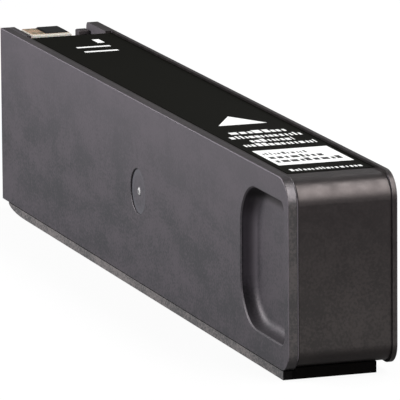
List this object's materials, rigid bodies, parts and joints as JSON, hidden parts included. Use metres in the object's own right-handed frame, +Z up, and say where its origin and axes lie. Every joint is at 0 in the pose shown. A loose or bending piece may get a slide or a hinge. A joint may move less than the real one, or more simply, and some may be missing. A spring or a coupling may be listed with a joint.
{
  "type": "inkjet ink cartridge",
  "caption": "Long slim black ink cartridge for a page-wide office printer: welded tray and cover with finger recesses, guide rail, top label, rear contact bay and needle port.",
  "frame": {"origin": "centre of the bounding box at the underside of the guide rail", "axes": "+Z up, +Y towards the end that enters the printer, X across, with the guide rail towards -X"},
  "size_m": [0.0324, 0.268, 0.0574],
  "materials": {
    "tray_plastic": "satin moulded black",
    "cover_plastic": "fine satin black",
    "rail_plastic": "satin dark grey",
    "end_plastic": "satin black",
    "label_film": "smooth black film",
    "print_white": "white print",
    "carrier_plastic": "pale satin",
    "board": "black solder resist",
    "contact_metal": "gold plate",
    "resin": "gloss black",
    "key_plastic": "satin black",
    "spout_plastic": "natural polythene",
    "rubber": "matt",
    "cap_plastic": "white",
    "membrane": "matt white",
    "pouch_film": "laminate film",
    "sheet_plastic": "clear film"
  },
  "bodies": {
    "root": {"housing_shell": "tray_plastic", "side_cover": "cover_plastic", "end_block": "end_plastic", "guide_rail": "rail_plastic", "label": "label_film", "label_print": "print_white", "chip_carrier": "carrier_plastic", "chip_board": "board", "chip_contacts": "contact_metal", "chip_resin": "resin", "key_block": "key_plastic", "pouch_spout": "spout_plastic", "spout_seal": "rubber", "outlet_septum": "rubber", "septum_cap": "cap_plastic", "fill_plug": "spout_plastic", "vent_membrane": "membrane", "ink_pouch": "pouch_film", "pouch_sheet_near": "sheet_plastic", "pouch_sheet_far": "sheet_plastic"}
  },
  "joints": []
}
